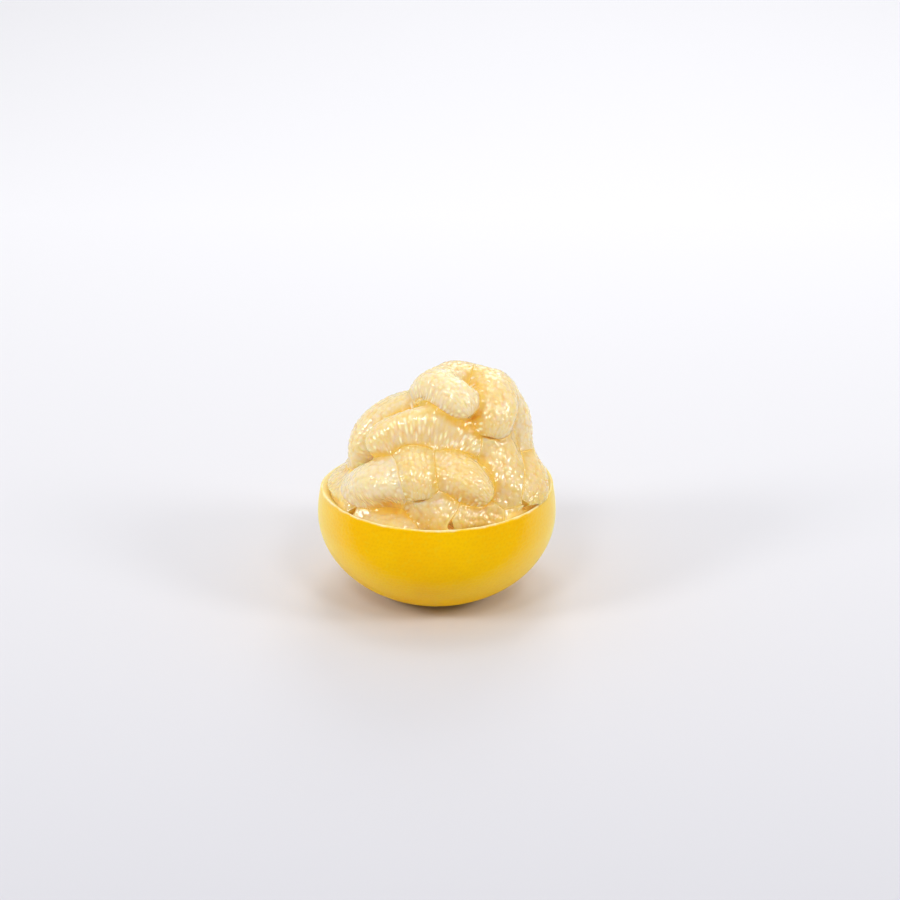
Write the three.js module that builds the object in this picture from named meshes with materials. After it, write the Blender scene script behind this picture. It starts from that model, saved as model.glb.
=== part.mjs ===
// A pomelo served in its own rind: the lower part of a small pomelo's rind, hollowed out and cut level,
// heaped with the fruit's peeled segments. Millimetres, +Z up, origin at the middle of the base.
import * as THREE from "three";

// The rind's outside is two half ellipses that meet at the widest ring, above a small flat spot.
const RIND_RADIUS = 55;
const WAIST_Z = 39.5;
const OUTER_DROP = 41.9;
const OUTER_RISE = 60;
const WALL = 5;
const FLOOR_THICKNESS = 7;
const INNER_RISE = 56;
const RIM_Z = 53.6;
const RIM_ROUNDING = 1.2;
// The cut slopes down to the inside. The knife went deeper at the back left, at this angle round.
const RIM_SLOPE_DROP = 3.2;
const RIM_DIP = 4;
const RIM_DIP_ANGLE = 2.5;
const RIND_SIDES = 44;

// A usual segment: half its length along the back, half its depth to the inner edge, half its thickness.
const HALF_LENGTH = 28;
const HALF_DEPTH = 11.5;
const HALF_THICKNESS = 9.5;
// Half the angle that its length bends through, in radians.
const CURL = 0.75;
// How much thicker it is at the back than at its inner edge, and how blunt its tips and section are.
const WEDGE = 0.28;
const TIP_BLUNTNESS = 2.4;
const SECTION_BLUNTNESS = 2.2;
// Slow swells make each segment uneven: waves along it and round it, and how much they add to the radius.
const SWELLS = [
  { along: 2.1, round: 1, share: 0.045 },
  { along: 3.4, round: 2, share: 0.035 },
  { along: 5.3, round: 1, share: 0.035 },
  { along: 4.2, round: 3, share: 0.03 },
];

// Soft pieces press flat on each other. They are drawn this far apart, the edge of the flat rounded.
const CLEARANCE = 0.7;
const PRESS_ROUNDING = 1.5;
const SPINE_CLEARANCE = 1.5;
const FACET_SHARE = 1.1;
const FACET_PASSES = 4;
const MARCH_STEP = 0.8;
const BISECTIONS = 9;

// The juice sacs: pleats down the sides, pebbles on the back.
const SAC_RELIEF = 0.8;
const OUTSIDE_GRID = { rings: 24, sides: 14 };
const INSIDE_GRID = { rings: 14, sides: 10 };

const skin = new THREE.MeshStandardMaterial({ color: 0xf2bc12, roughness: 0.42, metalness: 0 });
const flesh = new THREE.MeshStandardMaterial({ color: 0xf3dd9c, roughness: 0.25, metalness: 0 });

// Where each segment lies: its middle, the way its length runs, and the way its back faces.
// Half its length and its girth are given where they aren't a usual segment's.
const heap = [
  // The top of the heap.
  { name: "segment_top_left", length: 18.5, girth: 0.77,
    at: [3.4, -6.9, 101], along: [0.68, -0.72, 0], back: [-0.1, 0.1, 1] },
  { name: "segment_top", length: 23, girth: 0.92,
    at: [8, 10, 97.5], along: [0.55, 0.83, -0.1], back: [0, 0.1, 1] },
  { name: "segment_top_right", length: 20,
    at: [24.5, -3, 95], along: [0.15, -0.9, -0.3], back: [0.45, -0.3, 0.85] },
  { name: "segment_right_high", length: 27,
    at: [32.5, 3, 78], along: [0.1, -0.15, -0.98], back: [0.95, -0.2, 0.15] },
  // The big pair on the left, one leaning on the other.
  { name: "segment_comb",
    at: [-5, -14, 84], along: [1, 0, -0.08], back: [0, 0.55, 0.83] },
  { name: "segment_left_high",
    at: [-21.7, 5, 79], along: [0.7, 0.1, 0.69], back: [-0.7, 0.15, 0.69] },
  // The front of the heap, above the rim.
  { name: "segment_left_front", length: 21,
    at: [-26.5, -23, 62.2], along: [0.65, -0.6, 0.4], back: [-0.35, -0.35, 0.87] },
  { name: "segment_middle_front", length: 18.5, girth: 0.85,
    at: [-9.5, -24.5, 71.8], along: [0.15, -0.95, -0.25], back: [0, -0.25, 0.97] },
  { name: "segment_right_front", length: 20, girth: 0.85,
    at: [8, -28.5, 68.6], along: [0.82, -0.57, -0.1], back: [-0.1, -0.4, 0.9] },
  { name: "segment_right_upright", length: 25,
    at: [27.5, -17, 67], along: [-0.15, 0.5, 0.85], back: [0.25, -0.85, 0.45] },
  { name: "segment_right_rim", length: 24,
    at: [38.5, -6, 59], along: [-0.2, 0.95, 0.1], back: [0.7, 0, 0.7] },
  // Down inside the front rim.
  { name: "segment_rim_left_front", length: 24,
    at: [-25, -29, 42.5], along: [0.8, -0.6, 0], back: [-0.3, -0.4, 0.85] },
  { name: "segment_rim_front", length: 22,
    at: [-0.3, -32, 51.5], along: [0.45, -0.5, -0.72], back: [0.1, -0.8, 0.55] },
  { name: "segment_rim_right_front", length: 21,
    at: [17, -31, 48], along: [0.85, 0.4, -0.2], back: [0.1, -0.4, 0.9] },
  { name: "segment_rim_right", length: 22,
    at: [36, -20, 46.3], along: [0.6, 0.8, 0], back: [0.3, -0.3, 0.9] },
  { name: "segment_rim_left", length: 24,
    at: [-39.5, -7, 47.5], along: [0.25, -0.96, -0.1], back: [-0.4, 0, 0.9] },
  // The back of the heap.
  { name: "segment_left_back", length: 26,
    at: [-27.5, 22, 52], along: [0.65, 0.75, 0.1], back: [-0.5, 0.4, 0.75] },
  { name: "segment_back", length: 26,
    at: [2, 35, 55], along: [1, 0, 0], back: [0, 0.6, 0.8] },
  { name: "segment_right_back", length: 25,
    at: [30, 25, 54], along: [0.65, -0.75, 0], back: [0.5, 0.5, 0.7] },
  { name: "segment_back_left_high", length: 26,
    at: [-9, 22, 74], along: [0.9, 0.3, 0.2], back: [-0.1, 0.6, 0.8] },
  { name: "segment_back_right_high", length: 26,
    at: [20, 23, 78], along: [0.8, -0.5, 0.3], back: [0.3, 0.7, 0.6] },
  // Inside the heap and the rind, out of sight.
  { name: "segment_core_low", inside: true,
    at: [0, 4, 58], along: [0.9, 0.4, 0], back: [0, 0, 1] },
  { name: "segment_core_high", inside: true,
    at: [2, 2, 78], along: [0.8, -0.6, 0], back: [0, 0, 1] },
  { name: "segment_floor_left", inside: true,
    at: [-22, -4, 27], along: [0.2, 1, 0], back: [-0.8, 0, 0.5] },
  { name: "segment_floor_front", inside: true,
    at: [2, -20, 25], along: [1, 0, 0], back: [0, -0.8, 0.5] },
  { name: "segment_floor_right", inside: true,
    at: [23.5, 1, 27], along: [0, 1, 0], back: [0.8, 0, 0.5] },
  { name: "segment_floor_back", inside: true,
    at: [0, 22, 28], along: [1, 0, 0], back: [0, 0.8, 0.5] },
  { name: "segment_floor_middle", inside: true,
    at: [0, 2, 38], along: [0.7, 0.7, 0], back: [0, 0, 1] },
];

const smoothMin = (a, b, k) => {
  const h = Math.max(k - Math.abs(a - b), 0) / k;
  return Math.min(a, b) - (h * h * k) / 4;
};

// A segment's own axes and arc, worked out once from its place.
function laid({ name, at, along, back, length = HALF_LENGTH, girth = 1, inside = false }, number) {
  const a = new THREE.Vector3(...along).normalize();
  const b = new THREE.Vector3(...back);
  b.addScaledVector(a, -b.dot(a)).normalize();
  const arc = length / CURL;
  const middle = new THREE.Vector3(...at);
  return {
    name,
    number,
    girth,
    arc,
    along: a,
    back: b,
    side: new THREE.Vector3().crossVectors(a, b),
    centre: middle.clone().addScaledVector(b, -arc),
    grid: inside ? INSIDE_GRID : OUTSIDE_GRID,
  };
}

// Each segment starts its swells at another phase.
const swellAt = ({ number }, { along, round, share }, k, s, v) =>
  share * Math.sin(along * s + round * v + 1.7 * number + 2.3 * k + 0.9 * number * k);

// The section's radius at s, from -1 at one tip to 1 at the other, and at angle v, 0 at the back.
function sectionRadius(seg, s, v) {
  const taper = Math.sqrt(Math.max(0, 1 - Math.abs(s) ** TIP_BLUNTNESS));
  const up = Math.abs(Math.cos(v)) / HALF_DEPTH;
  const out = Math.abs(Math.sin(v)) / (HALF_THICKNESS * (1 + WEDGE * Math.cos(v)));
  const even = taper / (up ** SECTION_BLUNTNESS + out ** SECTION_BLUNTNESS) ** (1 / SECTION_BLUNTNESS);
  return seg.girth * even * (1 + SWELLS.reduce((sum, swell, k) => sum + swellAt(seg, swell, k, s, v), 0));
}

// The way out of the arc at s, and the point of the arc there.
const outward = (seg, s) =>
  new THREE.Vector3()
    .addScaledVector(seg.along, Math.sin(CURL * s))
    .addScaledVector(seg.back, Math.cos(CURL * s));
const spinePoint = (seg, s) => seg.centre.clone().addScaledVector(outward(seg, s), seg.arc);

// How far a point is outside a segment's own shape, negative inside it.
const from = new THREE.Vector3();
function outside(seg, p) {
  from.subVectors(p, seg.centre);
  const x = from.dot(seg.along);
  const z = from.dot(seg.back);
  const y = from.dot(seg.side);
  const s = THREE.MathUtils.clamp(Math.atan2(x, z) / CURL, -1, 1);
  const up = x * Math.sin(CURL * s) + z * Math.cos(CURL * s) - seg.arc;
  const past = x * Math.cos(CURL * s) - z * Math.sin(CURL * s);
  return Math.hypot(up, y, past) - sectionRadius(seg, s, Math.atan2(y, up));
}

const rimHeight = (x, y) => RIM_Z - RIM_DIP * Math.max(0, Math.cos(Math.atan2(y, x) - RIM_DIP_ANGLE)) ** 4;

// How far a point is from the rind: inside the hollow, or above the rim.
function offRind(p) {
  const high = p.z - WAIST_Z;
  const q = Math.hypot(p.x, p.y) / (RIND_RADIUS - WALL);
  const share = Math.hypot(q, high / (high < 0 ? WAIST_Z - FLOOR_THICKNESS : INNER_RISE));
  const offWall = Math.hypot(p.x, p.y, high) * (1 / Math.max(share, 1e-6) - 1);
  return Math.max(offWall, p.z - rimHeight(p.x, p.y));
}

// Whether a point belongs to a segment, with room to spare, when its own shape ends "inner" further out.
const belongs = (inner, p, others) =>
  offRind(p) >= CLEARANCE && others.every((other) => outside(other, p) + inner >= CLEARANCE);

// Where the segment's surface is, going out from its arc: its own shape, or flat where it is pressed on.
function pressedRadius(seg, s, v, others) {
  const own = sectionRadius(seg, s, v);
  const start = spinePoint(seg, s);
  const way = outward(seg, s).multiplyScalar(Math.cos(v)).addScaledVector(seg.side, Math.sin(v));
  const free = (t) => belongs(own - t, start.clone().addScaledVector(way, t), others);
  const reach = own + PRESS_ROUNDING;
  let low = 0;
  while (low < reach && free(low)) low += MARCH_STEP;
  if (low >= reach) return own;
  let high = low;
  low = Math.max(0, low - MARCH_STEP);
  for (let i = 0; i < BISECTIONS; i++) {
    const middle = (low + high) / 2;
    if (free(middle)) low = middle;
    else high = middle;
  }
  return Math.max(0.05, Math.min(low, smoothMin(own, low, PRESS_ROUNDING)));
}

// How far towards each tip the arc stays clear of the neighbours.
function clearEnd(seg, direction, others) {
  const clear = (s) => {
    const p = spinePoint(seg, s);
    const inner = sectionRadius(seg, s, 0);
    const clearOf = (other) => outside(other, p) + inner > SPINE_CLEARANCE;
    return offRind(p) > SPINE_CLEARANCE && others.every(clearOf);
  };
  let end = 1;
  while (end > 0.3 && !clear(direction * end)) end -= 0.02;
  return direction * end;
}

// The sacs' relief: neighbouring rings stand out and in, and on the back neighbouring points do.
function sacRelief(ring, side, v) {
  const onBack = Math.cos(v) > 0.5;
  const low = onBack ? (ring + side) % 2 : ring % 2;
  return low * SAC_RELIEF;
}

// A flat facet can cut into a neighbour where the surface is pressed hollow, so its corners are drawn in.
function drawInFacets(seg, pointAt, radii, others) {
  const [rings, sides] = [radii.length, radii[0].length];
  const pulls = radii.map((ring) => ring.map(() => 0));
  const pullAt = (i, k, pull) => {
    if (pulls[i]) pulls[i][k % sides] = Math.max(pulls[i][k % sides], pull);
  };
  for (let i = -1; i < rings; i++) {
    for (let k = 0; k < sides; k++) {
      for (const [j, l] of [[i, k + 1], [i + 1, k], [i + 1, k + 1]]) {
        const middle = pointAt(i, k).add(pointAt(j, l)).multiplyScalar(0.5);
        const own = outside(seg, middle);
        const room = Math.min(offRind(middle), ...others.map((other) => outside(other, middle) - own));
        const pull = Math.max(0, CLEARANCE * FACET_SHARE - room);
        pullAt(i, k, pull);
        pullAt(j, l, pull);
      }
    }
  }
  radii.forEach((ring, i) => ring.forEach((r, k) => (radii[i][k] = Math.max(r * 0.5, r - pulls[i][k]))));
}

function segmentGeometry(seg, others) {
  const { rings, sides } = seg.grid;
  const [first, last] = [clearEnd(seg, -1, others), clearEnd(seg, 1, others)];
  const along = (i) => first + ((last - first) * (1 - Math.cos((Math.PI * (i + 1)) / rings))) / 2;
  const round = (k) => (2 * Math.PI * k) / sides;
  const radii = Array.from({ length: rings - 1 }, (_, i) =>
    Array.from({ length: sides }, (_, k) => {
      const r = pressedRadius(seg, along(i), round(k), others);
      return r - Math.min(sacRelief(i, k, round(k)), r * 0.15);
    }),
  );
  const pointAt = (i, k) => {
    const spine = spinePoint(seg, along(i));
    if (!radii[i]) return spine;
    const r = radii[i][k % sides];
    return spine
      .addScaledVector(outward(seg, along(i)), r * Math.cos(round(k)))
      .addScaledVector(seg.side, r * Math.sin(round(k)));
  };
  for (let pass = 0; pass < FACET_PASSES; pass++) drawInFacets(seg, pointAt, radii, others);
  const points = [spinePoint(seg, first)];
  radii.forEach((ring, i) => ring.forEach((_, k) => points.push(pointAt(i, k))));
  points.push(spinePoint(seg, last));
  const faces = [];
  const at = (i, k) => 1 + (i - 1) * sides + (k % sides);
  const tip = points.length - 1;
  for (let k = 0; k < sides; k++) {
    faces.push(0, at(1, k + 1), at(1, k));
    for (let i = 1; i < rings - 1; i++) {
      faces.push(at(i, k), at(i + 1, k + 1), at(i + 1, k));
      faces.push(at(i, k), at(i, k + 1), at(i + 1, k + 1));
    }
    faces.push(tip, at(rings - 1, k), at(rings - 1, k + 1));
  }
  return new THREE.BufferGeometry().setFromPoints(points).setIndex(faces);
}

// A quarter of an ellipse as profile points, from angle a to b, measured up from level.
function ellipsePoints(radius, height, a, b, steps) {
  return Array.from({ length: steps + 1 }, (_, i) => {
    const angle = a + ((b - a) * i) / steps;
    return new THREE.Vector2(radius * Math.cos(angle), WAIST_Z + height * Math.sin(angle));
  });
}

function rindGeometry() {
  const base = -Math.asin(WAIST_Z / OUTER_DROP);
  const outerTop = Math.asin((RIM_Z - RIM_ROUNDING - WAIST_Z) / OUTER_RISE);
  const innerEdge = RIM_Z - RIM_SLOPE_DROP;
  const innerTop = Math.asin((innerEdge - WAIST_Z) / INNER_RISE);
  const innerDrop = WAIST_Z - FLOOR_THICKNESS;
  const outer = [
    ...ellipsePoints(RIND_RADIUS, OUTER_DROP, base, 0, 8),
    ...ellipsePoints(RIND_RADIUS, OUTER_RISE, 0, outerTop, 2).slice(1),
  ];
  const inner = [
    ...ellipsePoints(RIND_RADIUS - WALL, INNER_RISE, innerTop, 0, 2),
    ...ellipsePoints(RIND_RADIUS - WALL, innerDrop, 0, -Math.PI / 2, 7).slice(1),
  ];
  const [lip, edge] = [outer.at(-1), inner[0]];
  const crest = [
    new THREE.Vector2(lip.x - RIM_ROUNDING / 3, RIM_Z - RIM_ROUNDING / 3),
    new THREE.Vector2(lip.x - RIM_ROUNDING, RIM_Z),
    new THREE.Vector2(edge.x + RIM_ROUNDING, innerEdge + RIM_ROUNDING / 2),
  ];
  inner.at(-1).x = 0;
  const profile = [new THREE.Vector2(0, 0), ...outer, ...crest, ...inner];
  const rind = new THREE.LatheGeometry(profile, RIND_SIDES).rotateX(Math.PI / 2);
  // The hand-cut tilt fades out from the rim down to the waist.
  const places = rind.getAttribute("position");
  for (let i = 0; i < places.count; i++) {
    const [x, y, z] = [places.getX(i), places.getY(i), places.getZ(i)];
    const share = THREE.MathUtils.clamp((z - WAIST_Z / 2) / (RIM_Z - WAIST_Z / 2), 0, 1);
    places.setZ(i, z + (rimHeight(x, y) - RIM_Z) * share * share);
  }
  return rind;
}

const pomelo = new THREE.Group();

function add(name, geometry, material) {
  const mesh = new THREE.Mesh(geometry, material);
  mesh.name = name;
  pomelo.add(mesh);
}

add("rind", rindGeometry(), skin);
const segments = heap.map(laid);
for (const seg of segments) {
  add(seg.name, segmentGeometry(seg, segments.filter((other) => other !== seg)), flesh);
}

export default pomelo;
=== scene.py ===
"""A pomelo served in its own rind: smooth and yellow, cut level, and heaped with its peeled segments."""

import math

import bpy
import numpy as np
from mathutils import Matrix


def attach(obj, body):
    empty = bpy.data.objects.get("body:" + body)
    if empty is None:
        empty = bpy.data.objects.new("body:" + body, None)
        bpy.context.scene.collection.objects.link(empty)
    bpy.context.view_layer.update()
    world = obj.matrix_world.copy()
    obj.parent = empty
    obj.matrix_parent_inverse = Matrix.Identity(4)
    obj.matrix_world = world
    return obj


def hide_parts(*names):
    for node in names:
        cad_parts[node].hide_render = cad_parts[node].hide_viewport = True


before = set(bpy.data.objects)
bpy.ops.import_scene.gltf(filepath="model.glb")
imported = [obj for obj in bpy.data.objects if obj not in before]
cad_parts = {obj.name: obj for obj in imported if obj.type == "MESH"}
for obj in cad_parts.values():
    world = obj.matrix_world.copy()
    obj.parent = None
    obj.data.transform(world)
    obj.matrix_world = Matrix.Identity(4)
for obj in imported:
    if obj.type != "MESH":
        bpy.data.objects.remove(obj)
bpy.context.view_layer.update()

# Shapes are worked out in millimetres, and turned into metres as a mesh is made.
MM = 0.001

# The rind, as in the solid: two half ellipses that meet at the widest ring, above a small flat spot.
RIND_RADIUS = 55.0
WAIST_Z = 39.5
OUTER_DROP = 41.9
OUTER_RISE = 60.0
WALL = 5.0
FLOOR_THICKNESS = 7.0
INNER_RISE = 56.0
RIM_Z = 53.6
RIM_ROUNDING = 1.2
RIM_SLOPE_DROP = 3.2
RIM_DIP = 4.0
RIM_DIP_ANGLE = 2.5
RIM_DIP_SHARPNESS = 4
# Points round the rind, and steps along its profile, with the share of the skin's that are below the waist.
SKIN_SIDES = 520
SKIN_STEPS = 112
BELOW_WAIST = 0.78
SPOT_RINGS = 10
ROUNDING_STEPS = 4
CUT_STEPS = 7
EDGE_STEPS = 6
INSIDE_STEPS = 24
# The inner edge of the cut is softened by this much, in and up.
INNER_EDGE_SOFTENING = (0.25, 0.35)
# The flat spot's rings, as shares of its radius.
SPOT_SPAN = (0.6, 0.97)
# Glands and swells start between these heights.
RELIEF_STARTS = (0.3, 4.0)
PORE_SPACING = 1.9
# How far a gland's dimple reaches, in spacings.
PORE_REACH = 0.45
PORE_DEPTH = 0.1
PORE_SEED = 41
SWELL = 0.22
SWELL_WAVES = 9
SWELL_SEED = 7
# The cut edge is uneven by this much, less and less down to this far below it.
RAGGEDNESS = 0.05
RAGGED_DOWN_TO = 8.0
# How much of the rounded edge is pith, from its outside to its top.
PITH_ON_EDGE = (0.15, 0.75)

# A usual segment, as in the solid.
HALF_LENGTH = 28.0
HALF_DEPTH = 11.5
HALF_THICKNESS = 9.5
CURL = 0.75
WEDGE = 0.28
TIP_BLUNTNESS = 2.4
SECTION_BLUNTNESS = 2.2
# Slow swells make each segment uneven: waves along it, waves round it, and how much they add to the radius.
SWELLS = ((2.1, 1, 0.045), (3.4, 2, 0.035), (5.3, 1, 0.035), (4.2, 3, 0.03))
# What sets one segment's swells apart from the next one's: by segment, by swell and by both.
PHASES = (1.7, 2.3, 0.9)
SPINE_CLEARANCE = 1.5
# Two segments meet if one of so many points, along and round and not quite to the tips, is this near.
NEARLY_TOUCHING = 2.5
TOUCH_POINTS = (15, 13)
TOUCH_SPAN = 0.96
# The soft flesh closes most of the gap that the solids keep, and clings across the groove this widely.
CLEARANCE = 0.06
CLINGING = 8.0
SEARCH_STEPS = 14
BISECTIONS = 8
LEAST_RADIUS = 0.05
# A segment pressed at its tip is cut back in such steps, down to this share of its half length.
TIP_STEP = 0.02
SHORTEST = 0.3

# Juice sacs: how wide one is along the segment, and how long it is on the back and down the side.
SAC_WIDTH = 2.2
SAC_LENGTH_BACK = 2.5
SAC_LENGTH_SIDE = 8.0
# Where the back turns into the side, in radians from the back.
SIDE_STARTS = (0.75, 1.3)
# How far a sac's dome reaches from its middle, in sacs.
DOME_REACH = 0.75
SAC_DEPTH = 0.6
SAC_SEED = 100
# Steps round a segment for counting its sacs.
TURN_STEPS = 720
# Slow lumps under the sacs: how deep, from how many waves, and how close together these are along a segment.
LUMP_DEPTH = 1.1
LUMP_WAVES = 8
LUMP_PACE = 1.9
LUMP_SEED = 600
# The relief fades out where the radius falls through this, and always leaves this share of it.
RELIEF_FADES = (5.0, 0.5)
RELIEF_LEAVES = 0.6
# A cell's middle is at least this far from its corner, across and down, and up to so much further.
JITTER_ACROSS = (0.15, 0.5)
JITTER_DOWN = (0.2, 0.6)
# Columns of cells past each end of a pattern.
SPARE_COLUMNS = 3
# Further than anything that is looked for.
FAR = 9.0
# Flesh is painted golden as shade low in the bowl, and in a recess: where a point this far out has this
# little room.
RECESS_PROBE = 5.0
RECESS_ROOM = (0.0, 7.0)
BOWL_SHADE_HEIGHTS = (48.0, 63.0)
BOWL_SHADE_SHARE = 0.7
# Some segments are painted more golden, as shade, and some paler, as light falling on them.
LIGHT_AND_SHADE_BY_SEGMENT = {
    "segment_top_left": -0.3,
    "segment_top": 0.3,
    "segment_top_right": 0.15,
    "segment_comb": 0.25,
    "segment_left_front": -0.4,
    "segment_middle_front": 0.4,
    "segment_right_front": 0.4,
    "segment_right_upright": 0.4,
    "segment_right_rim": 0.45,
    "segment_rim_left_front": -0.1,
    "segment_rim_front": 0.2,
    "segment_rim_right_front": 0.25,
    "segment_rim_right": 0.2,
}
# This one is painted more golden, as shade, down the side that faces the one beside it.
SIDE_SHADE = {"segment_top_right": 0.7}
# How much of its own colour the palest segment gives up to painted light.
PALEST = 0.7
# The sacs' relief starts this far from where two segments meet, and a painted glow, for light coming
# through, shows this near to it.
CREASE_WIDTH = 0.9
GLOW_REACH = 0.6
# How strongly the painted glow, for the light that flesh passes on, shows, and its share in a crease, in a
# recess and in a painted highlight streak.
GLOW_STRENGTH = 0.3
CREASE_GLOW = 0.5
RECESS_GLOW = 0.25
STREAK_GLOW = 0.25
# Small beads to a sac's width, in the fine pattern.
BEADS_PER_SAC = 1.3
# Where a sac's middle shows a painted highlight streak: from this far down the side to this far, in radians
# from the back.
STREAKED = (0.85, 1.15, 2.1, 2.5)
# Where the dry inner edge starts, in radians from the back.
INNER_EDGE = (2.2, 3.0)
# The masks that aren't 0 at a segment's two tips.
AT_TIPS = {"sac": 0.5, "tint": 0.5, "inner_edge": 0.5}

# Points along and around a segment: in view, at the back of the heap, and out of sight.
IN_VIEW = (152, 130)
AT_BACK = (120, 100)
INSIDE = (50, 32)

# Colours of the flesh, from the painted shade of the deepest recess to the dry membrane at the inner edge.
RECESS = (0.88, 0.53, 0.05, 1)
# Painted shade: the gold of the creases between sacs, of the bowl and of the recesses.
SHADE_GOLD = (0.83, 0.52, 0.085, 1)
CLEAR_JUICE = (0.87, 0.675, 0.26, 1)
CLOUDY_JUICE = (0.88, 0.715, 0.39, 1)
CREAM = (0.90, 0.78, 0.57, 1)
# A painted highlight, for the streaks and dots where light catches the sacs.
STREAK_HIGHLIGHT = (1.0, 0.93, 0.62, 1)
MEMBRANE = (0.92, 0.85, 0.70, 1)
# A painted glow, for what the flesh passes on from light that enters out of sight.
GLOW = (0.92, 0.67, 0.20, 1)
NO_GLOW = (0, 0, 0, 1)

# Colours of the skin and its specks, of the painted sheen along its outline, and of the pith.
SKIN_DEEP = (0.98, 0.52, 0.0, 1)
SKIN_LIGHT = (1.0, 0.58, 0.0, 1)
GLAND = (0.84, 0.41, 0.002, 1)
FRECKLE = (0.95, 0.62, 0.02, 1)
EDGE_SHEEN = (1.0, 0.83, 0.30, 1)
SHEEN = (1.0, 0.93, 0.55, 1)
PITH_DULL = (0.95, 0.78, 0.38, 1)
PITH_PALE = (0.96, 0.86, 0.56, 1)

# About how many grains each pattern has to a metre.
CLOUDS = 90.0
MIST = 1000.0
PATCHES = 28.0
SPECKS = 520.0
FIBRES = 160.0
GLANDS = 620.0
GRAIN = 1400.0
# How deep each fine relief is, in metres.
BEAD_RELIEF = 0.00013
STREAK_RELIEF = 0.0003
GLAND_RELIEF = 0.00005
FIBRE_RELIEF = 0.0004
# How far light spreads under the surface, in metres, and the shares of that for red, green and blue.
JUICE_REACH = 0.009
JUICE_SPREAD = (1.0, 0.8, 0.22)
PEEL_REACH = 0.002
PEEL_SPREAD = (1.0, 0.55, 0.12)
# How much juice and moist skin bend light.
WATERY = 1.45

# Colours of the paper on the floor, with painted shade near and painted light far, and of the room.
PAPER_NEAR = (0.60, 0.595, 0.625, 1)
PAPER_FAR = (0.93, 0.925, 0.945, 1)
ROOM_COLOUR = (0.96, 0.965, 1.0, 1)

# The camera, from the photograph: where the rind's middle at the waist falls in a 900 by 900 picture.
PICTURE = 900
SENSOR = 36.0
FOCAL_PIXELS = 3646.0
WAIST_PIXEL = (436.8, 509.5)
CAMERA_DISTANCE = 1.685
CAMERA_PITCH = math.radians(23.9)

# How bright the room is, what share of that its near side has, and how bright the backdrop looks.
ROOM_LIGHT = 0.69
NEAR_SIDE = 0.35
BACKDROP = 0.88
# The floor's reach, and the lamps' places and sizes, are in metres, and their power is in watts.
FLOOR_REACH = 6.0
# The lamps face this point.
LIGHT_AIM = (0, 0, 0.05)
LAMPS = {
    "left_window": dict(place=(-1.1, -0.6, 0.8), size=(0.35, 0.35), power=6),
    "right_window": dict(place=(1.1, -0.5, 0.8), size=(0.35, 0.35), power=5),
    "front_left_window": dict(place=(-0.4, -0.95, 1.2), size=(0.3, 0.3), power=3.6),
    "front_right_window": dict(place=(0.45, -0.9, 1.25), size=(0.3, 0.3), power=3.2),
    "overhead": dict(place=(0.0, 0.3, 1.4), size=(0.4, 0.4), power=2),
    "back_window": dict(place=(0.2, 1.2, 0.9), size=(0.7, 0.5), power=3.5),
}

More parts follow.
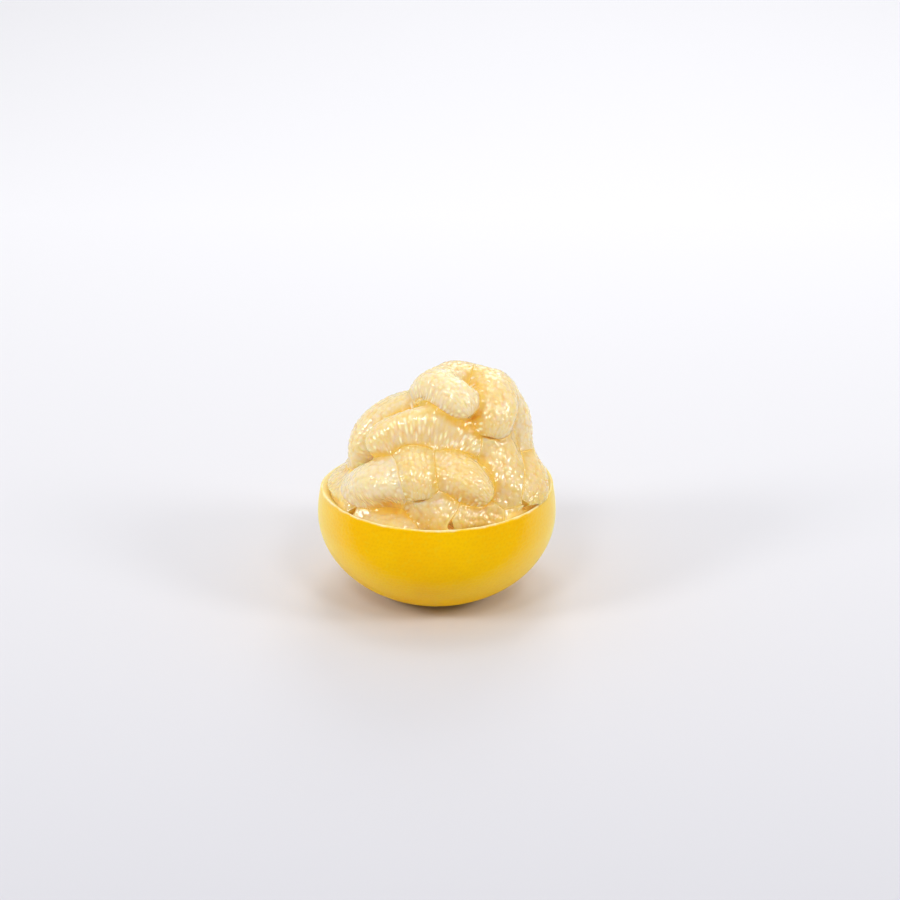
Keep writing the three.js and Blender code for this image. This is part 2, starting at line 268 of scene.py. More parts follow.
HEAP = {
    # The top of the heap.
    "segment_top_left": dict(
        at=(3.4, -6.9, 101), along=(0.68, -0.72, 0), back=(-0.1, 0.1, 1), length=18.5, girth=0.77
    ),
    "segment_top": dict(
        at=(8, 10, 97.5), along=(0.55, 0.83, -0.1), back=(0, 0.1, 1), length=23, girth=0.92
    ),
    "segment_top_right": dict(
        at=(24.5, -3, 95), along=(0.15, -0.9, -0.3), back=(0.45, -0.3, 0.85), length=20
    ),
    "segment_right_high": dict(
        at=(32.5, 3, 78), along=(0.1, -0.15, -0.98), back=(0.95, -0.2, 0.15), length=27
    ),
    # The big pair on the left, one leaning on the other.
    "segment_comb": dict(at=(-5, -14, 84), along=(1, 0, -0.08), back=(0, 0.55, 0.83)),
    "segment_left_high": dict(at=(-21.7, 5, 79), along=(0.7, 0.1, 0.69), back=(-0.7, 0.15, 0.69)),
    # The front of the heap, above the rim.
    "segment_left_front": dict(
        at=(-26.5, -23, 62.2), along=(0.65, -0.6, 0.4), back=(-0.35, -0.35, 0.87), length=21
    ),
    "segment_middle_front": dict(
        at=(-9.5, -24.5, 71.8), along=(0.15, -0.95, -0.25), back=(0, -0.25, 0.97), length=18.5, girth=0.85
    ),
    "segment_right_front": dict(
        at=(8, -28.5, 68.6), along=(0.82, -0.57, -0.1), back=(-0.1, -0.4, 0.9), length=20, girth=0.85
    ),
    "segment_right_upright": dict(
        at=(27.5, -17, 67), along=(-0.15, 0.5, 0.85), back=(0.25, -0.85, 0.45), length=25
    ),
    "segment_right_rim": dict(at=(38.5, -6, 59), along=(-0.2, 0.95, 0.1), back=(0.7, 0, 0.7), length=24),
    # Down inside the front rim.
    "segment_rim_left_front": dict(
        at=(-25, -29, 42.5), along=(0.8, -0.6, 0), back=(-0.3, -0.4, 0.85), length=24
    ),
    "segment_rim_front": dict(
        at=(-0.3, -32, 51.5), along=(0.45, -0.5, -0.72), back=(0.1, -0.8, 0.55), length=22
    ),
    "segment_rim_right_front": dict(
        at=(17, -31, 48), along=(0.85, 0.4, -0.2), back=(0.1, -0.4, 0.9), length=21
    ),
    "segment_rim_right": dict(at=(36, -20, 46.3), along=(0.6, 0.8, 0), back=(0.3, -0.3, 0.9), length=22),
    "segment_rim_left": dict(
        at=(-39.5, -7, 47.5), along=(0.25, -0.96, -0.1), back=(-0.4, 0, 0.9), length=24
    ),
    # The back of the heap.
    "segment_left_back": dict(
        at=(-27.5, 22, 52), along=(0.65, 0.75, 0.1), back=(-0.5, 0.4, 0.75), length=26, grid=AT_BACK
    ),
    "segment_back": dict(at=(2, 35, 55), along=(1, 0, 0), back=(0, 0.6, 0.8), length=26, grid=AT_BACK),
    "segment_right_back": dict(
        at=(30, 25, 54), along=(0.65, -0.75, 0), back=(0.5, 0.5, 0.7), length=25, grid=AT_BACK
    ),
    "segment_back_left_high": dict(
        at=(-9, 22, 74), along=(0.9, 0.3, 0.2), back=(-0.1, 0.6, 0.8), length=26, grid=AT_BACK
    ),
    "segment_back_right_high": dict(
        at=(20, 23, 78), along=(0.8, -0.5, 0.3), back=(0.3, 0.7, 0.6), length=26, grid=AT_BACK
    ),
    # Inside the heap and the rind, out of sight.
    "segment_core_low": dict(at=(0, 4, 58), along=(0.9, 0.4, 0), back=(0, 0, 1), grid=INSIDE),
    "segment_core_high": dict(at=(2, 2, 78), along=(0.8, -0.6, 0), back=(0, 0, 1), grid=INSIDE),
    "segment_floor_left": dict(at=(-22, -4, 27), along=(0.2, 1, 0), back=(-0.8, 0, 0.5), grid=INSIDE),
    "segment_floor_front": dict(at=(2, -20, 25), along=(1, 0, 0), back=(0, -0.8, 0.5), grid=INSIDE),
    "segment_floor_right": dict(at=(23.5, 1, 27), along=(0, 1, 0), back=(0.8, 0, 0.5), grid=INSIDE),
    "segment_floor_back": dict(at=(0, 22, 28), along=(1, 0, 0), back=(0, 0.8, 0.5), grid=INSIDE),
    "segment_floor_middle": dict(at=(0, 2, 38), along=(0.7, 0.7, 0), back=(0, 0, 1), grid=INSIDE),
}


# Meshes


def smooth_step(low, high, value):
    share = np.clip((value - low) / (high - low), 0, 1)
    return share * share * (3 - 2 * share)


def smooth_min(a, b, width):
    share = np.maximum(width - np.abs(a - b), 0) / width
    return np.minimum(a, b) - share * share * width / 4


def mesh_piece(name, points, faces, masks, material):
    """A smooth mesh from points in millimetres, with each mask as a number on each point or corner."""
    mesh = bpy.data.meshes.new(name)
    mesh.from_pydata((points * MM).tolist(), [], faces)
    for mask, values in masks.items():
        domain = "POINT" if len(values) == len(points) else "CORNER"
        mesh.attributes.new(mask, "FLOAT", domain).data.foreach_set("value", values.astype(np.float32))
    mesh.polygons.foreach_set("use_smooth", [True] * len(mesh.polygons))
    mesh.materials.append(material)
    mesh.update()
    piece = bpy.data.objects.new(name, mesh)
    bpy.context.scene.collection.objects.link(piece)
    return piece


def ring_faces(rings, sides, first=0):
    """Quads between rings of points that close round, counted from the first point."""
    start = first + np.arange(rings - 1)[:, None] * sides
    here = np.arange(sides)[None, :]
    after = (here + 1) % sides
    quads = np.stack([start + here, start + after, start + sides + after, start + sides + here], -1)
    return quads.reshape(-1, 4).tolist()


def cells(across, down, rows, seed):
    """A jittered pattern of cells one unit apart, closed round after so many rows.

    It gives the distance to the nearest cell's middle, and a number that each cell has for itself.
    """
    draw = np.random.default_rng(seed)
    columns = int(np.ceil(across.max() - across.min())) + 2 * SPARE_COLUMNS
    first_column = int(np.floor(across.min())) - SPARE_COLUMNS
    jitter = draw.random((columns, rows, 3))
    column, row = np.floor(across).astype(int), np.floor(down).astype(int)
    nearest = np.full(across.shape, FAR)
    own = np.zeros(across.shape)
    for i in (-1, 0, 1):
        for j in (-1, 0, 1):
            place = jitter[(column + i - first_column) % columns, (row + j) % rows]
            shift = 0.5 * ((row + j) % 2)
            away = np.hypot(
                column + i + JITTER_ACROSS[0] + JITTER_ACROSS[1] * place[..., 0] + shift - across,
                row + j + JITTER_DOWN[0] + JITTER_DOWN[1] * place[..., 1] - down,
            )
            closer = away < nearest
            own = np.where(closer, place[..., 2], own)
            nearest = np.where(closer, away, nearest)
    return nearest, own


# Segments


class Segment:
    """One crescent: its axes, its bent spine and its own shape before its neighbours press on it."""

    def __init__(self, number, name, at, along, back, length=HALF_LENGTH, girth=1.0, grid=IN_VIEW):
        self.number = number
        self.name = name
        self.length = length
        self.girth = girth
        self.grid = grid
        self.along = np.array(along, float) / np.linalg.norm(along)
        back = np.array(back, float) - np.dot(back, self.along) * self.along
        self.back = back / np.linalg.norm(back)
        self.side = np.cross(self.along, self.back)
        self.arc = length / CURL
        self.middle = np.array(at, float)
        self.centre = self.middle - self.arc * self.back

    def outward(self, s):
        """The way out from the arc's centre at s, from -1 at one tip to 1 at the other."""
        s = np.asarray(s)[..., None]
        return np.sin(CURL * s) * self.along + np.cos(CURL * s) * self.back

    def spine(self, s):
        return self.centre + self.arc * self.outward(s)

    def way(self, s, v):
        """The way out from the spine at s and at angle v, 0 at the back."""
        return np.cos(v)[..., None] * self.outward(s) + np.sin(v)[..., None] * self.side

    def section(self, s, v):
        """The radius at s and at angle v."""
        taper = np.sqrt(np.maximum(0, 1 - np.abs(s) ** TIP_BLUNTNESS))
        up = np.abs(np.cos(v)) / HALF_DEPTH
        out = np.abs(np.sin(v)) / (HALF_THICKNESS * (1 + WEDGE * np.cos(v)))
        even = taper / (up**SECTION_BLUNTNESS + out**SECTION_BLUNTNESS) ** (1 / SECTION_BLUNTNESS)
        uneven = 1.0
        for k, (waves_along, waves_round, share) in enumerate(SWELLS):
            phase = PHASES[0] * self.number + PHASES[1] * k + PHASES[2] * self.number * k
            uneven = uneven + share * np.sin(waves_along * s + waves_round * v + phase)
        return self.girth * even * uneven

    def outside(self, point):
        """How far points are outside the segment's own shape, negative inside it."""
        away = point - self.centre
        x, y, z = away @ self.along, away @ self.side, away @ self.back
        s = np.clip(np.arctan2(x, z) / CURL, -1, 1)
        up = x * np.sin(CURL * s) + z * np.cos(CURL * s) - self.arc
        past = x * np.cos(CURL * s) - z * np.sin(CURL * s)
        return np.sqrt(up**2 + y**2 + past**2) - self.section(s, np.arctan2(y, up))


def rim_height(angle):
    return RIM_Z - RIM_DIP * np.maximum(0, np.cos(angle - RIM_DIP_ANGLE)) ** RIM_DIP_SHARPNESS


def off_rind(point):
    """How far points are from the rind: inside the hollow, or above the rim."""
    x, y, high = point[..., 0], point[..., 1], point[..., 2] - WAIST_Z
    round_off = np.hypot(x, y)
    reach = np.where(high < 0, WAIST_Z - FLOOR_THICKNESS, INNER_RISE)
    share = np.hypot(round_off / (RIND_RADIUS - WALL), high / reach)
    off_wall = np.hypot(round_off, high) * (1 / np.maximum(share, 1e-6) - 1)
    return np.maximum(off_wall, point[..., 2] - rim_height(np.arctan2(y, x)))


def pressed_radius(segment, s, v, others):
    """The radius of the surface: the segment's own, out to where its neighbours start.

    It runs into a neighbour's surface in a soft hollow, as moist flesh clings together.
    """
    own = segment.section(s, v)
    start = segment.spine(s)
    way = segment.way(s, v)

    def within(radius):
        point = start + radius[..., None] * way
        past = radius - own
        room, merged = off_rind(point), past
        for other in others:
            away = other.outside(point)
            room = np.minimum(room, away - past)
            merged = smooth_min(merged, away, CLINGING)
        return (room >= CLEARANCE) & (merged <= 0)

    reach = own + CLINGING / 2
    low = np.zeros_like(own)
    met = np.zeros(own.shape, bool)
    for step in range(1, SEARCH_STEPS + 1):
        radius = reach * step / SEARCH_STEPS
        met |= ~within(radius)
        low = np.where(met, low, radius)
    high = np.minimum(low + reach / SEARCH_STEPS, reach)
    for _ in range(BISECTIONS):
        middle = (low + high) / 2
        clear = within(middle)
        low = np.where(clear, middle, low)
        high = np.where(clear, high, middle)
    return np.maximum(LEAST_RADIUS, low)


def clear_end(segment, direction, others):
    """How far towards a tip the spine stays clear of the neighbours."""
    for end in np.arange(1, SHORTEST, -TIP_STEP):
        point = segment.spine(direction * end)
        clear = off_rind(point) > SPINE_CLEARANCE
        need = SPINE_CLEARANCE - segment.section(direction * end, 0.0)
        if clear and all(other.outside(point) > need for other in others):
            break
    return direction * end


def lumps(s, v, seed):
    """Slow swells over a segment, from 0 to 1, so that no two look turned on a lathe."""
    draw = np.random.default_rng(seed)
    height = np.zeros(s.shape)
    for _ in range(LUMP_WAVES):
        along, round_ = draw.integers(1, 7), draw.integers(0, 4)
        height += np.sin(along * LUMP_PACE * s + round_ * v + draw.random() * 2 * math.pi)
    return 0.5 + height / (2 * LUMP_WAVES)


def sac_length(v):
    """How long a sac is at angle v: short on the back, long down the side."""
    side = smooth_step(*SIDE_STARTS, np.abs(v))
    return SAC_LENGTH_BACK + (SAC_LENGTH_SIDE - SAC_LENGTH_BACK) * side


def sac_places(s, v, length):
    """Where a point is in the sacs' pattern, in sacs along and in sacs round, and the number round."""
    usual_radius = (HALF_DEPTH + HALF_THICKNESS) / 2
    turn = np.linspace(-math.pi, math.pi, TURN_STEPS + 1)
    count = np.concatenate([[0], np.cumsum(usual_radius * np.diff(turn) / sac_length(turn[1:]))])
    rows = 2 * round(count[-1] / 2)
    down = np.interp(v, turn, count * rows / count[-1])
    return s * length / SAC_WIDTH, down, rows


def colour_masks(segment, s, v, apart, room, height):
    """Where the flesh is painted golden as shade, in a recess, lit through by a painted glow, streaked by a
    painted highlight, and at its inner edge, from 0 to 1.
    """
    # Painted shade: golden low in the bowl and in recesses.
    bowl_shade = 1 - smooth_step(*BOWL_SHADE_HEIGHTS, height)
    recess_shade = 1 - smooth_step(*RECESS_ROOM, room)
    # Painted light and shade by segment, and painted shade down one side.
    segment_light_and_shade = LIGHT_AND_SHADE_BY_SEGMENT.get(segment.name, 0)
    side_shade = SIDE_SHADE.get(segment.name, 0) * np.maximum(0, np.sin(v))
    golden = np.clip(segment_light_and_shade + side_shade + np.maximum(BOWL_SHADE_SHARE * bowl_shade, recess_shade), 0, 1)
    lit_through = CREASE_GLOW * (1 - smooth_step(CLEARANCE, GLOW_REACH, apart))
    if segment.grid == INSIDE:
        lit_through = np.ones(s.shape)
    turned = np.abs(v)
    streaked = smooth_step(*STREAKED[:2], turned) * (1 - smooth_step(*STREAKED[2:], turned))
    return {
        "recess_shade": recess_shade,
        "golden": golden,
        "lit_through": lit_through,
        "streaked": streaked,
        "inner_edge": smooth_step(*INNER_EDGE, turned),
    }


def segment_piece(segment, others, material):
    """One segment's flesh, pressed against its neighbours, with its sacs standing out."""
    along_steps, round_steps = segment.grid
    first, last = clear_end(segment, -1, others), clear_end(segment, 1, others)
    ring = np.arange(1, along_steps)
    s_line = first + (last - first) * (1 - np.cos(math.pi * ring / along_steps)) / 2
    v_line = -math.pi + 2 * math.pi * np.arange(round_steps) / round_steps
    s, v = np.meshgrid(s_line, v_line, indexing="ij")
    radius = pressed_radius(segment, s, v, others)
    across, down, rows = sac_places(s, v, segment.length)
    nearest, tint = cells(across, down, rows, SAC_SEED + segment.number)
    sac = np.clip(1 - (nearest / DOME_REACH) ** 2, 0, 1)

    # The relief fades out towards the tips, and where the segment meets another.
    way = segment.way(s, v)
    at = segment.spine(s) + radius[..., None] * way
    own = segment.section(s, v)
    apart = off_rind(at)
    for other in others:
        apart = np.minimum(apart, other.outside(at) - radius + own)
    thick = smooth_step(RELIEF_FADES[1], RELIEF_FADES[0], radius)
    fade = thick * smooth_step(CLEARANCE, CREASE_WIDTH, apart)
    sunk = SAC_DEPTH * (1 - sac) + LUMP_DEPTH * lumps(s, v, LUMP_SEED + segment.number)
    surface = np.maximum(radius - (sunk - sunk.mean()) * fade, radius * RELIEF_LEAVES)
    points = (segment.spine(s) + surface[..., None] * way).reshape(-1, 3)
    points = np.concatenate([points, [segment.spine(first), segment.spine(last)]])

    # Faces, with each corner's place in the pattern round the segment, which ends where it starts.
    rings = along_steps - 1
    faces = [face[::-1] for face in ring_faces(rings, round_steps)]
    down_line = np.append(down[0], rows)
    here, after = down_line[:-1], down_line[1:]
    down_corners = np.tile(np.stack([here, after, after, here], -1).ravel(), rings - 1)
    down_tips = np.stack([(here + after) / 2, after, here, (here + after) / 2, here, after], -1).ravel()
    start, end = rings * round_steps, rings * round_steps + 1
    final = (rings - 1) * round_steps
    for k in range(round_steps):
        after = (k + 1) % round_steps
        faces.append([start, after, k])
        faces.append([end, final + k, final + after])

    # Masks for the material, with two more values for the tips.
    before = segment.spine(s) + (surface + RECESS_PROBE)[..., None] * way
    room = np.full(s.shape, FAR)
    for other in others:
        room = np.minimum(room, other.outside(before))
    masks = {"sac": sac, "tint": tint}
    masks.update(colour_masks(segment, s, v, apart, room, points[: s.size, 2].reshape(s.shape)))
    for mask, values in masks.items():
        masks[mask] = np.concatenate([values.ravel(), [AT_TIPS.get(mask, 0)] * 2])
    # Paler segments get painted light.
    masks["pale"] = np.full(s.size + 2, max(-LIGHT_AND_SHADE_BY_SEGMENT.get(segment.name, 0), 0) * PALEST)
    tips_along = np.array([first, last]) * segment.length / SAC_WIDTH
    masks["sacs_along"] = np.concatenate([across.ravel(), tips_along])
    masks["sacs_round"] = np.concatenate([down_corners, down_tips])
    piece = mesh_piece(f"{segment.name}_flesh", points, faces, masks, material)
    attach(piece, "root")
    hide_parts(segment.name)
    return piece


def meets(segment, other):
    """Whether two segments' own shapes touch or nearly touch, from a few points of the first."""
    s_line = np.linspace(-TOUCH_SPAN, TOUCH_SPAN, TOUCH_POINTS[0])
    v_line = np.linspace(-math.pi, math.pi, TOUCH_POINTS[1])
    s, v = np.meshgrid(s_line, v_line, indexing="ij")
    points = segment.spine(s) + segment.section(s, v)[..., None] * segment.way(s, v)
    return other.outside(points).min() < NEARLY_TOUCHING


# Rind


def arc_points(radius, height, start, end, steps):
    angle = np.linspace(start, end, steps + 1)
    return np.stack([radius * np.cos(angle), WAIST_Z + height * np.sin(angle)], -1)


def rind_profile():
    """The rind's profile from under its middle, up the outside, over the cut and down the inside.

    With it come how much of each point is pith, and how many points are skin.
    """
    base = -math.asin(WAIST_Z / OUTER_DROP)
    inner_edge = RIM_Z - RIM_SLOPE_DROP
    outer_top = math.asin((RIM_Z - RIM_ROUNDING - WAIST_Z) / OUTER_RISE)
    inner_top = math.asin((inner_edge - WAIST_Z) / INNER_RISE)
    lower_steps = int(SKIN_STEPS * BELOW_WAIST)
    lower = arc_points(RIND_RADIUS, OUTER_DROP, base, 0, lower_steps)
    upper = arc_points(RIND_RADIUS, OUTER_RISE, 0, outer_top, SKIN_STEPS - lower_steps)[1:]
    spot = np.linspace(*SPOT_SPAN, SPOT_RINGS)[:, None] * lower[0]
    lip = upper[-1]
    edge = arc_points(RIND_RADIUS - WALL, INNER_RISE, inner_top, 0, EDGE_STEPS)
    turn = np.linspace(0, math.pi / 2, ROUNDING_STEPS + 1)[1:]
    rounding = np.stack(
        [lip[0] - RIM_ROUNDING * (1 - np.cos(turn)), RIM_Z - RIM_ROUNDING * (1 - np.sin(turn))], -1
    )
    share = np.linspace(0, 1, CUT_STEPS + 1)[1:-1, None]
    cut = rounding[-1] * (1 - share) + (edge[0] + INNER_EDGE_SOFTENING) * share
    bowl_depth = WAIST_Z - FLOOR_THICKNESS
    inside = arc_points(RIND_RADIUS - WALL, bowl_depth, 0, -math.pi / 2, INSIDE_STEPS)[1:-1]
    profile = np.concatenate([spot, lower, upper, rounding, cut, edge, inside])
    skin = len(spot) + len(lower) + len(upper)
    turning = np.linspace(*PITH_ON_EDGE, ROUNDING_STEPS)
    pith = np.concatenate([np.zeros(skin), turning, np.ones(len(profile) - skin - ROUNDING_STEPS)])
    return profile, pith, skin


def rind_piece(material):
    """The peel: the profile turned round, with oil glands, slow swells and a slightly ragged rim."""
    profile, pith, skin = rind_profile()
    turn = 2 * math.pi * np.arange(SKIN_SIDES) / SKIN_SIDES
    radius, angle = np.meshgrid(profile[:, 0], turn, indexing="ij")
    height = np.repeat(profile[:, 1:], SKIN_SIDES, 1)

    # Glands and swells are on the skin only, and fade out at the flat spot.
    on_skin = np.zeros(len(profile))
    on_skin[SPOT_RINGS:skin] = 1
    on_skin = (on_skin * smooth_step(*RELIEF_STARTS, profile[:, 1]))[:, None]
    steps = np.concatenate([[0], np.cumsum(np.linalg.norm(np.diff(profile, axis=0), axis=1))])
    rows = int(steps[-1] / PORE_SPACING) + 4
    across = angle * RIND_RADIUS / PORE_SPACING
    down = np.repeat(steps[:, None] / PORE_SPACING, SKIN_SIDES, 1)
    nearest, _ = cells(across, down, rows, PORE_SEED)
    pore = 1 - smooth_step(0.0, PORE_REACH, nearest)
    swell = np.zeros(radius.shape)
    draw = np.random.default_rng(SWELL_SEED)
    for _ in range(SWELL_WAVES):
        turns, waves = draw.integers(1, 8), draw.uniform(0.02, 0.09)
        swell += np.sin(turns * angle + waves * height * 2 + draw.random() * 2 * math.pi) / SWELL_WAVES
    sunk = on_skin * (PORE_DEPTH * pore + SWELL * (1 + swell) / 2)

    # The rim dips on one side, and the wall below it follows.
    share = np.clip((height - WAIST_Z / 2) / (RIM_Z - WAIST_Z / 2), 0, 1)
    height = height + (rim_height(angle) - RIM_Z) * share**2
    ragged = np.sin(23 * angle + 3 * np.sin(5 * angle)) + np.sin(41 * angle + 2 * np.sin(9 * angle))
    height += RAGGEDNESS * ragged * smooth_step(RIM_Z - RAGGED_DOWN_TO, RIM_Z, height)

    x, y = (radius - sunk) * np.cos(angle), (radius - sunk) * np.sin(angle)
    points = np.stack([x, y, height], -1).reshape(-1, 3)
    points = np.concatenate([points, [[0, 0, 0], [0, 0, FLOOR_THICKNESS]]])
    faces = ring_faces(len(profile), SKIN_SIDES)
    under, within = len(points) - 2, len(points) - 1
    final = (len(profile) - 1) * SKIN_SIDES
    for k in range(SKIN_SIDES):
        after = (k + 1) % SKIN_SIDES
        faces.append([under, after, k])
        faces.append([within, final + k, final + after])
    masks = {
        "pith": np.concatenate([np.repeat(pith, SKIN_SIDES), [0, 1]]),
        "pore": np.concatenate([(pore * on_skin).ravel(), [0, 0]]),
    }
    piece = mesh_piece("rind_peel", points, faces, masks, material)
    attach(piece, "root")
    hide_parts("rind")
    return piece


# Materials


class Nodes:
    """Short calls for wiring a node tree."""

    def __init__(self, tree):
        self.tree = tree

    def add(self, kind, **settings):
        node = self.tree.nodes.new(kind)
        inputs = settings.pop("inputs", {})
        for key, value in settings.items():
            setattr(node, key, value)
        for key, value in inputs.items():
            self.put(value, node.inputs[key])
        return node

    def put(self, value, socket):
        if isinstance(value, bpy.types.NodeSocket):
            self.tree.links.new(value, socket)
        else:
            socket.default_value = value

    def mask(self, name):
        return self.add("ShaderNodeAttribute", attribute_name=name).outputs["Fac"]

    def noise(self, place, scale, detail=3.0, roughness=0.5):
        wires = {"Vector": place, "Scale": scale, "Detail": detail, "Roughness": roughness}
        return self.add("ShaderNodeTexNoise", inputs=wires).outputs["Fac"]

    def spread(self, value, low, high, to_low=0.0, to_high=1.0):
        wires = {"Value": value, "From Min": low, "From Max": high, "To Min": to_low, "To Max": to_high}
        return self.add("ShaderNodeMapRange", inputs=wires).outputs["Result"]

    def work_out(self, operation, a, b):
        return self.add("ShaderNodeMath", operation=operation, inputs={0: a, 1: b}).outputs[0]

    def plus(self, a, b):
        return self.work_out("ADD", a, b)

    def times(self, a, b):
        return self.work_out("MULTIPLY", a, b)

    def larger(self, a, b):
        return self.work_out("MAXIMUM", a, b)

    def part(self, vector, axis):
        return self.add("ShaderNodeSeparateXYZ", inputs={"Vector": vector}).outputs[axis]

    def blend(self, share, a, b):
        node = self.add("ShaderNodeMix", data_type="RGBA")
        for key, value in (("Factor_Float", share), ("A_Color", a), ("B_Color", b)):
            self.put(value, next(socket for socket in node.inputs if socket.identifier == key))
        return next(socket for socket in node.outputs if socket.identifier == "Result_Color")

    def bump(self, height, distance, strength=1.0, normal=None):
        wires = {"Height": height, "Distance": distance, "Strength": strength}
        node = self.add("ShaderNodeBump", inputs=wires)
        if normal:
            self.put(normal, node.inputs["Normal"])
        return node.outputs["Normal"]


def new_material(name):
    material = bpy.data.materials.new(name)
    material.use_nodes = True
    nodes = Nodes(material.node_tree)
    surface = material.node_tree.nodes["Principled BSDF"]
    place = nodes.add("ShaderNodeTexCoord").outputs["Object"]
    return material, nodes, surface, place


def wire(nodes, surface, **values):
    for key, value in values.items():
        nodes.put(value, surface.inputs[key.replace("_", " ")])


def flesh_material():
    """Moist juice sacs: pale and cloudy where they stand out, golden and clear in the creases between, the
    gold being painted shade.
    """
    material, nodes, surface, place = new_material("juice_sacs")
    sac, tint = nodes.mask("sac"), nodes.mask("tint")
    sacs_along, sacs_round = nodes.mask("sacs_along"), nodes.mask("sacs_round")
    golden, recess_shade = nodes.mask("golden"), nodes.mask("recess_shade")

    # Small beads, each with a shade of its own.
    wires = {"X": nodes.times(sacs_along, BEADS_PER_SAC), "Y": nodes.times(sacs_round, BEADS_PER_SAC)}
    spot = nodes.add("ShaderNodeCombineXYZ", inputs=wires).outputs[0]
    wires = {"Vector": spot, "Scale": 1.0, "Smoothness": 0.3}
    beads = nodes.add("ShaderNodeTexVoronoi", voronoi_dimensions="2D", feature="SMOOTH_F1", inputs=wires)
    bead = nodes.spread(beads.outputs["Distance"], 0.0, 0.75, 1.0, 0.0)
    shade = nodes.part(beads.outputs["Color"], "X")

    # Painted highlights: long streaks where light catches the sacs' middles, and a dot in some.
    spot = nodes.add("ShaderNodeCombineXYZ", inputs={"X": sacs_along, "Y": sacs_round}).outputs[0]
    wires = {"Vector": spot, "Scale": 1.1, "Randomness": 0.8}
    tubes = nodes.add("ShaderNodeTexVoronoi", voronoi_dimensions="2D", inputs=wires)
    lit = nodes.part(tubes.outputs["Color"], "X")
    streak = nodes.spread(tubes.outputs["Distance"], 0.1, 0.38, 1.0, 0.0)
    streak = nodes.times(streak, nodes.spread(lit, 0.2, 0.7, 0.15, 1.0))
    streak = nodes.times(streak, nodes.mask("streaked"))
    dot = nodes.spread(tubes.outputs["Distance"], 0.05, 0.22, 1.0, 0.0)
    dot = nodes.times(dot, nodes.spread(lit, 0.7, 0.78, 0.0, 0.5))

    # The juice: cloudy in patches, creamier in some sacs and beads, and golden with painted shade between
    # the sacs.
    cloud = nodes.noise(place, CLOUDS, 4.0)
    mist = nodes.noise(place, MIST, 2.0)
    body = nodes.blend(nodes.spread(cloud, 0.32, 0.62), CLEAR_JUICE, CLOUDY_JUICE)
    body = nodes.blend(nodes.spread(tint, 0.45, 1.0, 0.0, 0.45), body, CREAM)
    body = nodes.blend(nodes.spread(shade, 0.3, 0.9, 0.0, 0.5), body, CREAM)
    body = nodes.blend(nodes.spread(mist, 0.4, 0.65, 0.0, 0.45), body, CREAM)
    colour = nodes.blend(nodes.spread(sac, 0.05, 0.65, 0.5, 1.0), SHADE_GOLD, body)
    colour = nodes.blend(nodes.spread(bead, 0.0, 0.6, 0.5, 0.0), colour, CLEAR_JUICE)
    # Painted light: the paler segments are blended toward cream.
    colour = nodes.blend(nodes.mask("pale"), colour, CREAM)

    # Scraps of membrane at the inner edge, painted golden shade in the bowl and the recesses, and the
    # painted highlight streaks on top.
    strips = nodes.times(nodes.mask("inner_edge"), nodes.spread(cloud, 0.5, 0.62, 0.0, 0.7))
    colour = nodes.blend(strips, colour, MEMBRANE)
    colour = nodes.blend(nodes.times(golden, 0.85), colour, SHADE_GOLD)
    deep = nodes.work_out("POWER", recess_shade, 2.0)
    colour = nodes.blend(nodes.times(deep, golden), colour, RECESS)
    # A painted highlight on the streaks and dots.
    colour = nodes.blend(nodes.larger(streak, dot), colour, STREAK_HIGHLIGHT)

    normal = nodes.bump(bead, BEAD_RELIEF, 0.8)
    normal = nodes.bump(streak, STREAK_RELIEF, 0.8, normal)
    roughness = nodes.spread(cloud, 0.3, 0.7, 0.06, 0.11)
    wire(nodes, surface, Base_Color=colour, Normal=normal, Roughness=roughness)
    wire(nodes, surface, Subsurface_Weight=1.0, Subsurface_Scale=JUICE_REACH)
    wire(nodes, surface, Subsurface_Radius=JUICE_SPREAD, IOR=WATERY, Specular_IOR_Level=0.9)
    # A painted glow, in creases, deep recesses and streaks and all over the hidden segments, stands in for
    # light that the flesh passes on.
    glow = nodes.larger(nodes.times(deep, RECESS_GLOW), nodes.mask("lit_through"))
    glow = nodes.larger(glow, nodes.times(streak, STREAK_GLOW))
    glow_colour = nodes.blend(glow, NO_GLOW, GLOW)
    wire(nodes, surface, Emission_Color=glow_colour, Emission_Strength=GLOW_STRENGTH)
    return material


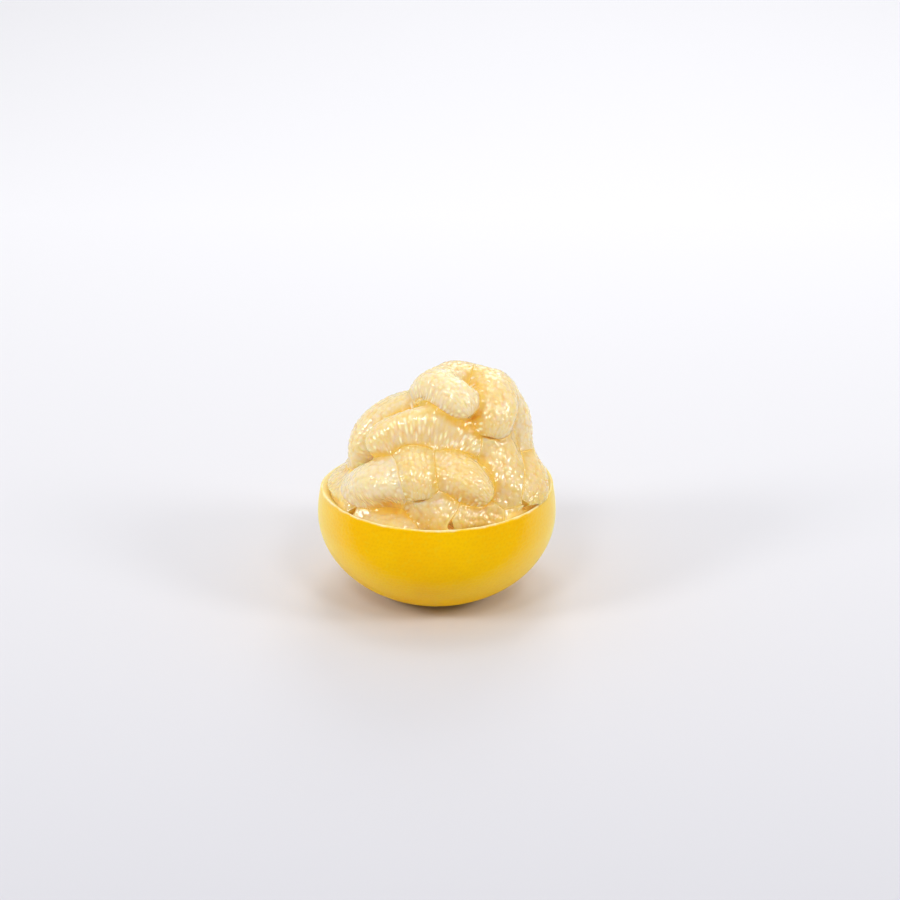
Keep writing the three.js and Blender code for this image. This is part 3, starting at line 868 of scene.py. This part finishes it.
def peel_material():
    """Smooth bright yellow skin with fine oil glands, turning to dull cream pith on the cut and inside."""
    material, nodes, surface, place = new_material("peel")
    patch = nodes.noise(place, PATCHES, 3.0)
    speck = nodes.noise(place, SPECKS, 2.0)
    skin = nodes.blend(nodes.spread(patch, 0.35, 0.65), SKIN_DEEP, SKIN_LIGHT)
    skin = nodes.blend(nodes.times(nodes.mask("pore"), 0.35), skin, GLAND)
    skin = nodes.blend(nodes.spread(speck, 0.56, 0.7, 0.0, 0.35), skin, FRECKLE)

    # The pith starts along an uneven line.
    fibre = nodes.noise(place, FIBRES, 4.0, 0.6)
    cream = nodes.blend(nodes.spread(fibre, 0.35, 0.65), PITH_DULL, PITH_PALE)
    wobble = nodes.plus(nodes.mask("pith"), nodes.spread(fibre, 0.3, 0.7, -0.2, 0.2))
    pith = nodes.spread(wobble, 0.2, 0.7)
    colour = nodes.blend(pith, skin, cream)

    # A painted sheen: the skin is paler where it turns away, and less so near the ground.
    away = nodes.add("ShaderNodeLayerWeight", inputs={"Blend": 0.35}).outputs["Facing"]
    high = nodes.spread(nodes.part(place, "Z"), 0.012, 0.035)
    edge_sheen = nodes.times(nodes.spread(away, 0.23, 0.85, 0.0, 0.95), high)
    colour = nodes.blend(edge_sheen, colour, EDGE_SHEEN)

    wires = {"Vector": place, "Scale": GLANDS}
    glands = nodes.add("ShaderNodeTexVoronoi", inputs=wires).outputs["Distance"]
    height = nodes.plus(nodes.spread(glands, 0.0, 0.5), nodes.noise(place, GRAIN))
    skin_normal = nodes.bump(height, GLAND_RELIEF, 0.6)
    normal = nodes.bump(nodes.times(fibre, pith), FIBRE_RELIEF, 0.9, skin_normal)
    roughness = nodes.plus(nodes.spread(patch, 0.3, 0.7, 0.36, 0.46), nodes.times(pith, 0.3))
    wire(nodes, surface, Base_Color=colour, Normal=normal, Roughness=roughness)
    wire(nodes, surface, Specular_IOR_Level=0.05, Sheen_Weight=0.015, Sheen_Roughness=0.4)
    wire(nodes, surface, Sheen_Tint=SHEEN)
    wire(nodes, surface, Subsurface_Weight=0.25, Subsurface_Scale=PEEL_REACH)
    wire(nodes, surface, Subsurface_Radius=PEEL_SPREAD, IOR=WATERY)
    return material


def floor_material():
    """Pale grey paper, with painted shade near and painted light further back."""
    material, nodes, surface, place = new_material("floor")
    colour = nodes.blend(nodes.spread(nodes.part(place, "Y"), -0.3, 0.5), PAPER_NEAR, PAPER_FAR)
    wire(nodes, surface, Base_Color=colour, Roughness=0.7)
    return material


# Camera, floor and light


def camera():
    data = bpy.data.cameras.new("camera")
    data.sensor_width = SENSOR
    data.lens = FOCAL_PIXELS * SENSOR / PICTURE
    viewer = bpy.data.objects.new("camera", data)
    bpy.context.scene.collection.objects.link(viewer)
    viewer.rotation_euler = (math.pi / 2 - CAMERA_PITCH, 0, 0)
    right = (WAIST_PIXEL[0] - PICTURE / 2) / FOCAL_PIXELS
    up = (PICTURE / 2 - WAIST_PIXEL[1]) / FOCAL_PIXELS
    lean, level = math.sin(CAMERA_PITCH), math.cos(CAMERA_PITCH)
    viewer.location = (
        -CAMERA_DISTANCE * right,
        -CAMERA_DISTANCE * (up * lean + level),
        WAIST_Z * MM - CAMERA_DISTANCE * (up * level - lean),
    )
    bpy.context.scene.camera = viewer


def floor():
    mesh = bpy.data.meshes.new("floor")
    near, far = -FLOOR_REACH, FLOOR_REACH
    corners = [(near, near, 0), (far, near, 0), (far, far, 0), (near, far, 0)]
    mesh.from_pydata(corners, [], [(0, 1, 2, 3)])
    mesh.materials.append(floor_material())
    ground = bpy.data.objects.new("floor", mesh)
    bpy.context.scene.collection.objects.link(ground)


def soft_light(name, place, size, power):
    data = bpy.data.lights.new(name, "AREA")
    data.shape = "RECTANGLE"
    data.size, data.size_y = size
    data.energy = power
    lamp = bpy.data.objects.new(name, data)
    bpy.context.scene.collection.objects.link(lamp)
    lamp.location = place
    facing = np.array(LIGHT_AIM) - np.array(place)
    flat = math.hypot(facing[0], facing[1])
    lamp.rotation_euler = (math.atan2(flat, -facing[2]), 0, math.atan2(facing[1], facing[0]) - math.pi / 2)


def surroundings():
    """A white room that is dimmer on its near side. The camera sees it evenly white."""
    world = bpy.data.worlds.new("studio")
    world.use_nodes = True
    nodes = Nodes(world.node_tree)
    background = world.node_tree.nodes["Background"]
    facing = nodes.add("ShaderNodeTexCoord").outputs["Generated"]
    room = nodes.spread(nodes.part(facing, "Y"), -0.75, 0.2, ROOM_LIGHT * NEAR_SIDE, ROOM_LIGHT)
    seen = nodes.add("ShaderNodeLightPath").outputs["Is Camera Ray"]
    strength = nodes.add("ShaderNodeMix", data_type="FLOAT")
    for key, value in (("Factor_Float", seen), ("A_Float", room), ("B_Float", BACKDROP)):
        nodes.put(value, next(socket for socket in strength.inputs if socket.identifier == key))
    nodes.put(strength.outputs[0], background.inputs["Strength"])
    background.inputs["Color"].default_value = ROOM_COLOUR
    bpy.context.scene.world = world


def light():
    surroundings()
    for name, lamp in LAMPS.items():
        soft_light(name, **lamp)
    bpy.context.scene.view_settings.view_transform = "Standard"


camera()
floor()
light()
rind_piece(peel_material())
flesh = flesh_material()
segments = [Segment(number, name, **laid) for number, (name, laid) in enumerate(HEAP.items())]
for segment in segments:
    neighbours = [other for other in segments if other is not segment and meets(segment, other)]
    segment_piece(segment, neighbours, flesh)
